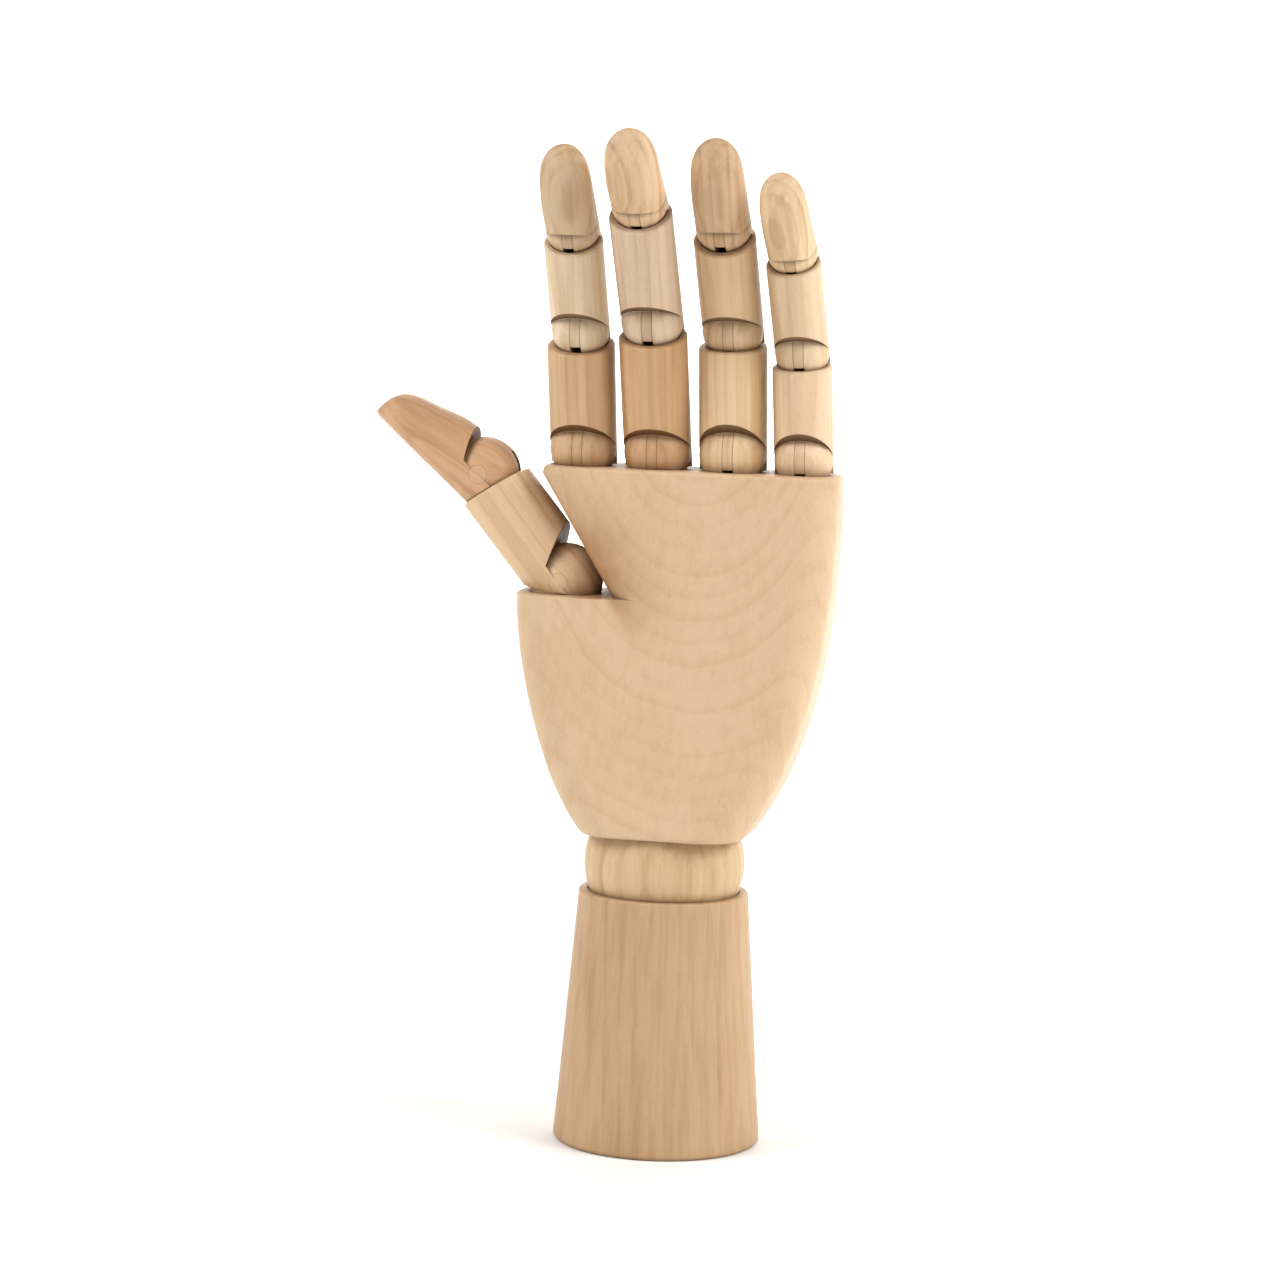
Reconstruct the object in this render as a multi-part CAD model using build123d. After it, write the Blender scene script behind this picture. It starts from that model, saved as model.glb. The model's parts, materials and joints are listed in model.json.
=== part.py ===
from build123d import *
import os
from math import cos, radians, sin, tan

# Jointed wooden hand, millimetres. Z is up, X to the little finger, the palm looks along -Y.

# Clearances
BALL_GAP = 0.3
SOLE_GAP = 0.3
PRESS_GAP = 0.02
RUN_GAP = 0.05
EYE_GAP = 0.25
PIN_END_GAP = 0.2
CUT_OVER = 1.0

# Forearm and wrist
BASE_R = 30.5
FOREARM_TOP_R = 24.9
FOREARM_H = 74.4
BASE_EASE = 1.2
RIM_EASE = 0.7
WRIST_Z = 82.7
WRIST_R = 23.6
WRIST_CAVITY_R = 4.7
WRIST_MOUTH_R = 3.0
WRIST_FLARE_DEG = 23.0
WRIST_PIN_R = 1.5
WRIST_EYE_R = 3.7
WRIST_EYE_T = 1.4
WRIST_EYE_SIDE = 1.65
WRIST_EYE_SLACK = 1.1
WRIST_HOOK_R = 0.8
WRIST_ROD_R = 1.6
WRIST_COIL_R = 5.0
WRIST_COIL_LOW = 18.0
WRIST_COIL_HIGH = 50.0
WRIST_BORE_GAP = 1.0
RECESS_R = 9.0
RECESS_H = 9.0
BORE_FLOOR = 14.0
WASHER_R = 8.0
WASHER_T = 1.5
NUT_R = 4.0
NUT_T = 3.0
EYE_BOLT_DEPTH = 26.0

# Palm: height, left edge, right edge, half depth and corner radius of each section
PALM_LOW = (92.3, -22.9, 25.0, 24.0, 13.0)
PALM_HEEL = (102.0, -29.7, 31.1, 22.6, 12.6)
PALM_SWELL = (118.0, -36.8, 38.2, 20.4, 12.0)
PALM_MID = (140.0, -42.9, 44.3, 18.0, 11.4)
PALM_LEDGE = (160.0, -45.3, 47.1, 16.2, 11.0)
PALM_HIGH = (180.0, -43.4, 48.4, 14.8, 10.6)
PALM_TOP = (198.3, -38.3, 48.3, 13.6, 10.0)
PALM_EASE = (0.9, 1.2)
LEDGE_Z = 160.8
LEDGE_X = -17.6
SAW_OVER = 1.6
SAW_T = 0.9
WALL_X = -39.7
WALL_Z = 195.5
WALL_SLANT = 0.16
WALL_ROUND_R = 8.0
WALL_ROUND_DEPTH = 7.0
WALL_ROUND_DEG = 62.0
ROD_Z = 189.6
ROD_LEFT = -30.4
ROD_RIGHT = 44.0
ROD_R = 0.9

# Knuckles
SEAT = 0.5
SLOT_W = 3.0
PIN_R = 0.9
PIN_REACH = 0.7
EYE_R = 2.1
EYE_T = 1.1
EYE_SIDE = 0.72
TIE_R = 0.45
COIL_R = 2.0
COIL_EASE = 0.4
COIL_LOW_ROOM = 2.0
COIL_HIGH_ROOM = 1.5
HOOK_LAP = 1.0
BORE_R = 2.5
EDGE = 0.5
RIM_SLOPE = 6.0
EYE_ROOM = EYE_R + EYE_GAP

# Fingers: base place across the palm, ball radii, lengths, lean forwards and to the side
FINGERS = {
    "index": {
        "x": -27.9,
        "ball": (9.75, 8.45, 7.8),
        "length": (35.8, 33.0, 26.6),
        "lean": (14.0, 27.0, 42.0),
        "sway": (0.0, 0.0, 0.0),
    },
    "middle": {
        "x": -5.8,
        "ball": (9.85, 9.0, 8.05),
        "length": (39.8, 39.8, 24.6),
        "lean": (16.0, 32.0, 50.0),
        "sway": (1.0, 1.0, 1.0),
    },
    "ring": {
        "x": 16.4,
        "ball": (9.85, 8.85, 8.0),
        "length": (36.0, 35.2, 27.4),
        "lean": (5.0, 31.0, 41.0),
        "sway": (1.0, 1.0, 1.0),
    },
    "little": {
        "x": 37.2,
        "ball": (8.6, 7.85, 7.2),
        "length": (31.3, 32.3, 27.2),
        "lean": (6.0, 26.0, 48.0),
        "sway": (2.0, 3.0, 4.0),
    },
}
SEGMENTS = ("proximal", "middle", "distal")
SLOT_BEND = (66.0, 76.0, 76.0)
NOTCH_DEG = (42.0, 47.0, 42.0)
NOTCH_ROOT = (0.12, 0.08, -0.35)
FLARE = 1.01
# Fingertip and thumb tip levels: share of the length, half width, back and pad as shares of the ball
TIP_WAIST = 0.985
FINGERTIP = (
    (0.36, TIP_WAIST, TIP_WAIST, -TIP_WAIST),
    (0.52, 0.97, 0.97, -0.87),
    (0.68, 0.94, 0.96, -0.68),
    (0.82, 0.85, 0.94, -0.40),
    (0.92, 0.66, 0.90, -0.06),
    (0.975, 0.40, 0.82, 0.24),
)
FINGERTIP_END = 0.56
THUMB_TIP = (
    (0.14, TIP_WAIST, TIP_WAIST, -TIP_WAIST),
    (0.33, 0.97, 0.985, -0.76),
    (0.54, 0.95, 0.985, -0.56),
    (0.775, 0.87, 0.98, -0.27),
    (0.90, 0.70, 0.98, -0.05),
    (0.965, 0.46, 0.97, 0.25),
)
THUMB_TIP_END = 0.86

# Thumb
THUMB_R = (10.9, 10.4)
THUMB_SEAT = 0.32
THUMB_BALL = (-32.05, 0.0, LEDGE_Z + THUMB_SEAT * THUMB_R[0])
THUMB_LENGTH = (39.4, 36.2)
THUMB_LEAN = (39.5, 48.5)
THUMB_SLOT_BEND = (0.0, 78.0)
THUMB_NOTCH_DEG = 33.0
THUMB_NOTCH_ROOT = 0.55
THUMB_SWING_OUT = 5.0
THUMB_SWING_IN = 1.0
THUMB_RIM_SLOPE = 7.0
BUSH_LOW = 135.0
BUSH_HIGH = 139.0
STUD_R = 1.1
STUD_HEAD_R = 2.0
STUD_HEAD_T = 2.0
STUD_REACH = 3.0


def side_profile(points, half_width):
    """Solid with the given outline in the YZ plane."""
    face = make_face(Plane.YZ * Polyline(*points, close=True))
    return extrude(face, amount=half_width, both=True)


def rod(radius, low, high, x=0.0):
    """Upright round rod."""
    return Pos(x, 0, (low + high) / 2) * Cylinder(radius, high - low)


def cross_rod(radius, left, right, z=0.0):
    """Round rod along X."""
    return Pos((left + right) / 2, 0, z) * Rot(0, 90, 0) * Cylinder(radius, right - left)


def eye(outer, inner, thick, x, z):
    """Flat wire eye round a pin along X."""
    ring = Cylinder(outer, thick) - Cylinder(inner, thick)
    return Pos(x, 0, z) * Rot(0, 90, 0) * ring


def spot(origin, lean, sway):
    """Place of a segment that leans forwards by lean and to the thumb side by sway."""
    a, s = radians(lean), radians(sway)
    up = Vector(-sin(s) * cos(a), -sin(a), cos(a) * cos(s))
    return Plane(origin=origin, x_dir=(cos(s), 0, sin(s)), z_dir=up)


def sole_depth(ball, seat, tilt):
    """How far the stop face lies under the ball's centre, to clear a seat tilted by tilt."""
    return (seat * ball - SOLE_GAP) / cos(radians(tilt))


def segment_outline(ball, top, notch, root, sole, slope, top_slope):
    """Side outline of a segment's body: notch in front, stop face rising by slope behind."""
    wide = 2 * ball
    rise = wide * tan(radians(top_slope))
    return [
        (0, root * ball),
        (-wide, root * ball + wide * tan(radians(notch))),
        (-wide, top - rise),
        (wide, top + rise),
        (wide, wide * tan(radians(slope)) - sole),
        (0, -sole),
    ]


def knuckle_cuts(ball, bend, back):
    """Slot in a ball knuckle for a wire that swings forwards by bend, and the pin hole."""
    deep = 2 * ball
    a = radians(bend)
    edge = (-cos(a) * (TIE_R + EYE_GAP), sin(a) * (TIE_R + EYE_GAP))
    front = (edge[0] - sin(a) * deep, edge[1] - cos(a) * deep)
    low = -2 * deep
    swing = [edge, front, (front[0], low), (back, low), (back, 0)]
    slot = side_profile(swing, SLOT_W / 2) + cross_rod(EYE_ROOM, -SLOT_W / 2, SLOT_W / 2)
    reach = PIN_REACH * ball
    hole = cross_rod(PIN_R + PRESS_GAP, -reach, reach)
    return slot, hole


def shaft_segment(ball, length, next_ball, bend, notch, root, sole, slope, top_slope, back=EYE_ROOM):
    """Segment with a ball knuckle below and a cup above."""
    top = length - SEAT * next_ball
    body = Pos(0, 0, top / 2) * Cone(ball, ball * FLARE, top + 2 * ball)
    outline = segment_outline(ball, top, notch, root, sole, slope, top_slope)
    body = body & side_profile(outline, 2 * ball)
    rim = body.faces().sort_by(Axis.Z)[-1]
    body = chamfer(rim.outer_wire().edges(), EDGE)
    wood = body + Sphere(ball)
    slot, hole = knuckle_cuts(ball, bend, back)
    wood = wood - slot - hole
    wood = wood - rod(BORE_R, 0, length)
    wood = wood - Pos(0, 0, length) * Sphere(next_ball + BALL_GAP)
    return wood


def tip_section(ball, length, level):
    """One level of a fingertip, from its back to its pad."""
    share, half_width, back, pad = level
    place = Plane((0, (back + pad) / 2 * ball, share * length))
    return place * Ellipse(half_width * ball, (back - pad) / 2 * ball)


def tip_segment(ball, length, bend, notch, root, sole, slope, levels, end):
    """Last segment: straight back, sloping pad, soft tip."""
    start = levels[0][0] * length
    shaft = Pos(0, 0, (start - ball) / 2) * Cone(ball, TIP_WAIST * ball, start + ball)
    sections = [tip_section(ball, length, level) for level in levels]
    body = shaft + loft(sections + [Vertex(0, end * ball, length)])
    outline = segment_outline(ball, 2 * length, notch, root, sole, slope, 0.0)
    body = body & side_profile(outline, 2 * ball)
    wood = body + Sphere(ball)
    slot, hole = knuckle_cuts(ball, bend, EYE_ROOM)
    return wood - slot - hole


def knuckle_pin(ball):
    """Steel pin across a ball knuckle."""
    reach = PIN_REACH * ball - PIN_END_GAP
    return cross_rod(PIN_R, -reach, reach)


def tie(length, next_ball):
    """Sprung wire tie from a segment's own pin to the next one."""
    hole = PIN_R + EYE_GAP
    low = 2 * EYE_R + COIL_LOW_ROOM
    high = length - next_ball - BALL_GAP - COIL_HIGH_ROOM
    coil = rod(COIL_R, low, high)
    coil = chamfer(coil.edges().filter_by(GeomType.CIRCLE), COIL_EASE)
    inner = (hole + EYE_R) / 2
    spring = coil + rod(TIE_R, inner, low + HOOK_LAP, EYE_SIDE)
    spring = spring + rod(TIE_R, high - HOOK_LAP, length - inner, -EYE_SIDE)
    spring = spring + eye(EYE_R, hole, EYE_T, EYE_SIDE, 0)
    return spring + eye(EYE_R, hole, EYE_T, -EYE_SIDE, length)


def palm_section(section):
    """One level of the palm."""
    z, left, right, half_depth, corner = section
    shape = RectangleRounded(right - left, 2 * half_depth, corner)
    return Plane(((left + right) / 2, 0, z)) * shape


def finger_places(finger):
    """Ball centres and frames of one finger, from the palm outwards."""
    data = FINGERS[finger]
    centre = Vector(data["x"], 0, PALM_TOP[0] + SEAT * data["ball"][0])
    places = []
    for lean, sway, length in zip(data["lean"], data["sway"], data["length"]):
        place = spot(centre, lean, sway)
        places.append(place)
        centre = centre + place.z_dir * length
    return places


def thumb_places():
    """Frames of the two thumb segments: hinges along Y, notch towards the fingers."""
    centre = Vector(*THUMB_BALL)
    places = []
    for lean, length in zip(THUMB_LEAN, THUMB_LENGTH):
        a = radians(lean)
        place = Plane(origin=centre, x_dir=(0, 1, 0), z_dir=(-sin(a), 0, cos(a)))
        places.append(place)
        centre = centre + place.z_dir * length
    return places


def thumb_notch():
    """Room for the thumb: flat ledge, slanted wall with a rounded front edge."""
    far = 2 * PALM_TOP[0] - 2 * LEDGE_Z
    start_y = WALL_ROUND_DEPTH - PALM_LEDGE[3]
    back = (LEDGE_X - WALL_SLANT * far, far)
    start = (LEDGE_X - WALL_SLANT * start_y, start_y)
    wall = Line(back, start)
    bend = JernArc(start, wall % 1, WALL_ROUND_R, WALL_ROUND_DEG)
    leave = Line(bend @ 1, bend @ 1 + (bend % 1) * far)
    outside = Polyline(leave @ 1, (LEDGE_X - 3 * far, -2 * far), (LEDGE_X - 3 * far, far), back)
    level = make_face([wall, bend, leave, outside])
    rise = WALL_Z - LEDGE_Z
    share = far / rise
    step_x = (WALL_X - LEDGE_X) * share
    step_y = (PALM_LEDGE[3] - PALM_TOP[3]) * share
    return loft([Pos(0, 0, LEDGE_Z) * level, Pos(step_x, step_y, LEDGE_Z + far) * level], ruled=True)


def make_palm():
    """Palm block with its cups, bores and thumb notch."""
    levels = (PALM_LOW, PALM_HEEL, PALM_SWELL, PALM_MID, PALM_LEDGE, PALM_HIGH, PALM_TOP)
    block = loft([palm_section(level) for level in levels])
    ends = block.faces().filter_by(GeomType.PLANE).sort_by(Axis.Z)
    block = fillet(ends[0].edges(), PALM_EASE[0])
    ends = block.faces().filter_by(GeomType.PLANE).sort_by(Axis.Z)
    block = fillet(ends[-1].edges(), PALM_EASE[1])
    block = block - thumb_notch()
    saw_cut = Box(2 * SAW_OVER, 4 * PALM_LEDGE[3], SAW_T)
    block = block - Pos(LEDGE_X, 0, LEDGE_Z + SAW_T / 2) * saw_cut
    block = block - Pos(0, 0, WRIST_Z) * Sphere(WRIST_R + BALL_GAP)
    bolt_top = PALM_LOW[0] + EYE_BOLT_DEPTH
    block = block - rod(WRIST_ROD_R + PRESS_GAP, PALM_LOW[0], bolt_top, WRIST_EYE_SIDE)
    for finger in FINGERS:
        centre = finger_places(finger)[0].origin
        ball = FINGERS[finger]["ball"][0]
        block = block - Pos(centre) * Sphere(ball + BALL_GAP)
        low = ROD_Z - EYE_R - EYE_GAP
        block = block - Pos(centre.X, 0, (low + centre.Z) / 2) * Cylinder(BORE_R, centre.Z - low)
    block = block - cross_rod(ROD_R + PRESS_GAP, ROD_LEFT - PIN_END_GAP, ROD_RIGHT + PIN_END_GAP, ROD_Z)
    x, y, z = THUMB_BALL
    block = block - Pos(x, y, z) * Sphere(THUMB_R[0] + BALL_GAP)
    low = BUSH_LOW - STUD_HEAD_T - 2 * BALL_GAP
    return block - Pos(x, y, (low + z) / 2) * Cylinder(BORE_R, z - low)


def finger_link(finger):
    """Short wire link from the anchor rod to a finger's first pin."""
    centre = finger_places(finger)[0].origin
    hole = PIN_R + EYE_GAP
    inner = (hole + EYE_R) / 2
    link = rod(TIE_R, ROD_Z + inner, centre.Z - inner, -EYE_SIDE)
    link = link + eye(EYE_R, hole, EYE_T, -EYE_SIDE, centre.Z)
    link = link + eye(EYE_R, hole, EYE_T, -EYE_SIDE, ROD_Z)
    return Pos(centre.X, 0, 0) * link


def thumb_tie():
    """Thumb's sprung tie with a stud that turns in the palm."""
    x, y, z = THUMB_BALL
    hole = PIN_R + EYE_GAP
    high = -THUMB_R[0] - BALL_GAP - COIL_HIGH_ROOM
    low = BUSH_HIGH + STUD_REACH - z
    coil = chamfer(rod(COIL_R, low, high).edges().filter_by(GeomType.CIRCLE), COIL_EASE)
    stud_end = BUSH_LOW - BALL_GAP - z
    stud = rod(STUD_R, stud_end, low + HOOK_LAP)
    head = rod(STUD_HEAD_R, stud_end - STUD_HEAD_T, stud_end)
    hook = rod(TIE_R, high - HOOK_LAP, -(hole + EYE_R) / 2, -EYE_SIDE)
    ring = eye(EYE_R, hole, EYE_T, -EYE_SIDE, 0)
    return Plane(origin=(x, y, z), x_dir=(0, 1, 0), z_dir=(0, 0, 1)) * (coil + stud + head + hook + ring)


def make_forearm():
    """Tapered forearm with its cup, bore and underside recess."""
    wood = Pos(0, 0, FOREARM_H / 2) * Cone(BASE_R, FOREARM_TOP_R, FOREARM_H)
    rims = wood.edges().filter_by(GeomType.CIRCLE).sort_by(Axis.Z)
    wood = fillet(rims[0], BASE_EASE)
    rims = wood.edges().filter_by(GeomType.CIRCLE).sort_by(Axis.Z)
    wood = fillet(rims[-1], RIM_EASE)
    wood = wood - Pos(0, 0, WRIST_Z) * Sphere(WRIST_R + BALL_GAP)
    wood = wood - rod(WRIST_COIL_R + WRIST_BORE_GAP, BORE_FLOOR, WRIST_Z - WRIST_R / 2)
    wood = wood - rod(WRIST_ROD_R + WRIST_BORE_GAP, RECESS_H / 2, BORE_FLOOR + CUT_OVER)
    return wood - rod(RECESS_R, 0, RECESS_H)


def make_wrist_ball():
    """Wrist ball with a flared hole for the two ties."""
    ball = Sphere(WRIST_R) - Sphere(WRIST_CAVITY_R)
    mouth = WRIST_MOUTH_R + WRIST_R * tan(radians(WRIST_FLARE_DEG))
    flare = Pos(0, 0, WRIST_R / 2) * Cone(WRIST_MOUTH_R, mouth, WRIST_R)
    ball = ball - flare - Rot(180, 0, 0) * flare
    reach = PIN_REACH * WRIST_R
    ball = ball - cross_rod(WRIST_PIN_R + PRESS_GAP, -reach, reach)
    return Pos(0, 0, WRIST_Z) * ball


def wrist_eye(side):
    """Eye round the wrist pin."""
    return eye(WRIST_EYE_R, WRIST_PIN_R + WRIST_EYE_SLACK, WRIST_EYE_T, side, WRIST_Z)


def wrist_tie():
    """Sprung tie in the forearm, from the wrist pin to the nut."""
    grip = (WRIST_EYE_R + WRIST_PIN_R + WRIST_EYE_SLACK) / 2
    coil = rod(WRIST_COIL_R, WRIST_COIL_LOW, WRIST_COIL_HIGH)
    coil = chamfer(coil.edges().filter_by(GeomType.CIRCLE), 2 * COIL_EASE)
    hook_rod = rod(WRIST_HOOK_R, WRIST_COIL_HIGH - 2 * HOOK_LAP, WRIST_Z - grip, -WRIST_EYE_SIDE)
    tail = rod(WRIST_ROD_R, RECESS_H - WASHER_T - BALL_GAP - NUT_T, WRIST_COIL_LOW + 2 * HOOK_LAP)
    return coil + hook_rod + tail + wrist_eye(-WRIST_EYE_SIDE)


def make_nut():
    """Six-sided nut on the tie's tail."""
    top = RECESS_H - WASHER_T - BALL_GAP
    nut = extrude(RegularPolygon(NUT_R, 6), amount=NUT_T)
    return Pos(0, 0, top - NUT_T) * nut - rod(WRIST_ROD_R + PRESS_GAP, 0, RECESS_H)


def make_washer():
    """Washer under the roof of the recess."""
    washer = rod(WASHER_R, RECESS_H - WASHER_T, RECESS_H)
    return washer - rod(WRIST_ROD_R + RUN_GAP, 0, RECESS_H)


def eye_bolt():
    """Palm's eye bolt, down to the wrist pin."""
    grip = (WRIST_EYE_R + WRIST_PIN_R + WRIST_EYE_SLACK) / 2
    top = PALM_LOW[0] + EYE_BOLT_DEPTH - 2 * PIN_END_GAP
    neck = PALM_LOW[0] + WRIST_R / 2
    bolt = rod(WRIST_ROD_R, neck, top, WRIST_EYE_SIDE)
    hook = rod(WRIST_HOOK_R, WRIST_Z + grip, neck + HOOK_LAP, WRIST_EYE_SIDE)
    return bolt + hook + wrist_eye(WRIST_EYE_SIDE)


def make_nodes():
    """Every separate piece, by name."""
    nodes = {}
    nodes["forearm"] = make_forearm()
    nodes["base_washer"] = make_washer()
    nodes["wrist_tie"] = wrist_tie()
    nodes["wrist_nut"] = make_nut()
    nodes["wrist_ball"] = make_wrist_ball()
    reach = PIN_REACH * WRIST_R - PIN_END_GAP
    nodes["wrist_pin"] = cross_rod(WRIST_PIN_R, -reach, reach, WRIST_Z)
    nodes["palm"] = make_palm()
    nodes["palm_eye_bolt"] = eye_bolt()
    nodes["palm_anchor_rod"] = cross_rod(ROD_R, ROD_LEFT, ROD_RIGHT, ROD_Z)
    for finger, data in FINGERS.items():
        nodes[finger + "_link"] = finger_link(finger)
        places = finger_places(finger)
        for i, name in enumerate(SEGMENTS):
            ball, length = data["ball"][i], data["length"][i]
            slope = RIM_SLOPE if i else 0.0
            knuckle = (SLOT_BEND[i], NOTCH_DEG[i], NOTCH_ROOT[i], sole_depth(ball, SEAT, slope), slope)
            if i < 2:
                following = data["ball"][i + 1]
                wood = shaft_segment(ball, length, following, *knuckle, RIM_SLOPE)
                nodes[finger + "_" + name + "_tie"] = places[i] * tie(length, following)
            else:
                wood = tip_segment(ball, length, *knuckle, FINGERTIP, FINGERTIP_END)
            nodes[finger + "_" + name] = places[i] * wood
            nodes[finger + "_" + name + "_pin"] = places[i] * knuckle_pin(ball)
    low, high = thumb_places()
    ball, following = THUMB_R
    sole = sole_depth(ball, THUMB_SEAT, THUMB_LEAN[0] - THUMB_SWING_IN)
    notch = (THUMB_NOTCH_DEG, THUMB_NOTCH_ROOT)
    knuckle = (THUMB_SLOT_BEND[0], *notch, sole, THUMB_LEAN[0] + THUMB_SWING_OUT)
    wood = shaft_segment(ball, THUMB_LENGTH[0], following, *knuckle, THUMB_RIM_SLOPE, 2 * ball)
    nodes["thumb_proximal"] = low * wood
    nodes["thumb_proximal_pin"] = low * knuckle_pin(ball)
    nodes["thumb_proximal_tie"] = low * tie(THUMB_LENGTH[0], following)
    slope = THUMB_LEAN[1] - THUMB_LEAN[0] + THUMB_RIM_SLOPE
    knuckle = (THUMB_SLOT_BEND[1], *notch, sole_depth(following, SEAT, slope), slope)
    wood = tip_segment(following, THUMB_LENGTH[1], *knuckle, THUMB_TIP, THUMB_TIP_END)
    nodes["thumb_distal"] = high * wood
    nodes["thumb_distal_pin"] = high * knuckle_pin(following)
    nodes["thumb_tie"] = thumb_tie()
    x, y, z = THUMB_BALL
    bush = rod(BORE_R - PRESS_GAP, BUSH_LOW, BUSH_HIGH) - rod(STUD_R + RUN_GAP, BUSH_LOW, BUSH_HIGH)
    nodes["thumb_bush"] = Pos(x, y, 0) * bush
    return nodes


if __name__ == "__main__":
    os.makedirs("parts", exist_ok=True)
    for node, solid in make_nodes().items():
        export_step(solid, "parts/" + node + ".step")
        print(node, round(solid.volume, 1))
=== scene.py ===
import json
import logging
import math
from dataclasses import dataclass, field
from enum import Enum

import bpy
from mathutils import Euler, Matrix, Vector


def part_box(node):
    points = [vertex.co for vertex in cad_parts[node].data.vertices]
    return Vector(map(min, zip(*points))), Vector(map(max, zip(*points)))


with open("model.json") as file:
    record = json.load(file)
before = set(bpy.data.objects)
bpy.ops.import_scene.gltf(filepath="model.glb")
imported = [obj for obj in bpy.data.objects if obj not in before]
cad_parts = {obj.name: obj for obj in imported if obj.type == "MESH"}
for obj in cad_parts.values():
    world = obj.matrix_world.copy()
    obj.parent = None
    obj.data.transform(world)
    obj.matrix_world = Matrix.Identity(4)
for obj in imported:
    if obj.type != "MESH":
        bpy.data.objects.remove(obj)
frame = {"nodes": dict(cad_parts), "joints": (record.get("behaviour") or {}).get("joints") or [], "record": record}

Socket = bpy.types.NodeSocket
Number = Socket | float
LOG = logging.getLogger("wooden_hand")
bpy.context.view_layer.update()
MM = 0.001
SLOT_SIDE = 2 * MM
BALL_FRONT = 4.5 * MM
SHELL_SLACK = 0.03 * MM
LOG_STEP = Vector((37.0, 53.0, 211.0))


class Cut(Enum):
    """How a piece lies in the log: distance of the log's heart from the piece's axis, in millimetres."""

    QUARTER = 34.0
    SLAB = 62.0


class Digit(Enum):
    """The four fingers, by the names that their pieces start with."""

    INDEX = "index"
    MIDDLE = "middle"
    RING = "ring"
    LITTLE = "little"


class Tone(Enum):
    """Tones that the wooden pieces share: the colour, and how much it covers at most."""

    PORE = ("7A5230", 0.12)
    END_GRAIN = ("8A5F38", 0.14)
    STRIP = ("A07A50", 1.0)
    PLUG = ("EBD6B4", 0.14)
    GLUE = ("5B3B20", 0.62)
    # painted shadow on the ball under a notch's lip
    LIP_SHADOW = ("5F3D20", 1.0)
    # darker end grain with painted shade on the sawn notch faces
    SAWN_GRAIN_AND_SHADE = ("4E2D14", 1.0)
    # painted shade in the corner beside the thumb
    THUMB_SHADE = ("9A6530", 1.0)
    WORN_EDGE = ("F2DFC0", 0.22)
    # painted shade in notches, seams and where parts meet
    CREVICE_SHADE = ("54341A", 1.0)


def srgb(code: str) -> tuple[float, float, float, float]:
    """Turns a colour code into the linear colour that a shader takes.

    Args:
        code: six hexadecimal digits, red first.

    Returns:
        Linear red, green, blue and alpha.
    """
    shares = [int(code[i : i + 2], 16) / 255 for i in (0, 2, 4)]
    linear = [s / 12.92 if s <= 0.04045 else ((s + 0.055) / 1.055) ** 2.4 for s in shares]
    return (*linear, 1.0)


def find_joint(name: str) -> dict:
    """Finds a joint of the frame.

    Args:
        name: the joint's name.

    Returns:
        The joint's entry.
    """
    return next(joint for joint in frame["joints"] if joint["name"] == name)


def joint_place(name: str) -> Vector:
    """Place of a joint at rest, in metres."""
    return Vector(find_joint(name)["pos_m"])


def far_point(node: str, start: Vector) -> Vector:
    """The point of a node that lies furthest from a given one.

    Args:
        node: name of the node.
        start: the given point, in metres.

    Returns:
        The furthest vertex, in metres.
    """
    points = (vertex.co for vertex in frame["nodes"][node].data.vertices)
    return max(points, key=lambda point: (point - start).length_squared).copy()


class Graph:
    """Short way to add and join the nodes of a material."""

    def __init__(self, name: str) -> None:
        """Makes an empty material of that name."""
        self.material = bpy.data.materials.new(name)
        self.material.use_nodes = True
        self.tree = self.material.node_tree
        self.tree.nodes.clear()

    def add(self, kind: str, inputs: dict | None = None, **settings) -> bpy.types.Node:
        """Adds one node.

        Args:
            kind: the node's type, without its ShaderNode prefix.
            inputs: a value or an output socket for each named or numbered input.
            settings: the node's own settings.

        Returns:
            The new node.
        """
        node = self.tree.nodes.new("ShaderNode" + kind)
        for key, value in settings.items():
            setattr(node, key, value)
        for key, value in (inputs or {}).items():
            if isinstance(value, Socket):
                self.tree.links.new(value, node.inputs[key])
            else:
                node.inputs[key].default_value = value
        return node

    def math(self, operation: str, first: Number, second: Number = 0.0, clamp: bool = False) -> Socket:
        """Adds a sum, product or like operation on two numbers and returns its result."""
        node = self.add("Math", {0: first, 1: second}, operation=operation, use_clamp=clamp)
        return node.outputs[0]

    def vector(self, operation: str, first: Socket, second: Socket | Vector | tuple) -> bpy.types.Node:
        """Adds an operation on two vectors and returns its node."""
        return self.add("VectorMath", {0: first, 1: second}, operation=operation)

    def noise(self, place: Socket, scale: float, detail: float = 2.0, rough: float = 0.5) -> bpy.types.Node:
        """Adds a soft noise over the given place and returns its node."""
        values = {"Vector": place, "Scale": scale, "Detail": detail, "Roughness": rough}
        return self.add("TexNoise", values)

    def spread(
        self, value: Socket, low: float, high: float, to_low: float = 0.0, to_high: float = 1.0
    ) -> Socket:
        """Maps low to high onto to_low to to_high, with soft ends, and returns the result."""
        values = {"Value": value, "From Min": low, "From Max": high, "To Min": to_low, "To Max": to_high}
        return self.add("MapRange", values, interpolation_type="SMOOTHSTEP").outputs["Result"]

    def blend(self, share: Number, first: Socket | tuple, second: Socket | tuple) -> Socket:
        """Mixes two colours by a share and returns the colour."""
        return self.add("Mix", {0: share, 6: first, 7: second}, data_type="RGBA").outputs[2]

    def tint(self, colour: Socket, tone: Tone, share: Socket) -> Socket:
        """Lays a shared tone over a colour.

        Args:
            colour: the colour below.
            tone: the tone.
            share: where it lies, from 0 to 1.

        Returns:
            The tinted colour.
        """
        code, strength = tone.value
        return self.blend(self.math("MULTIPLY", share, strength), colour, srgb(code))


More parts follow.
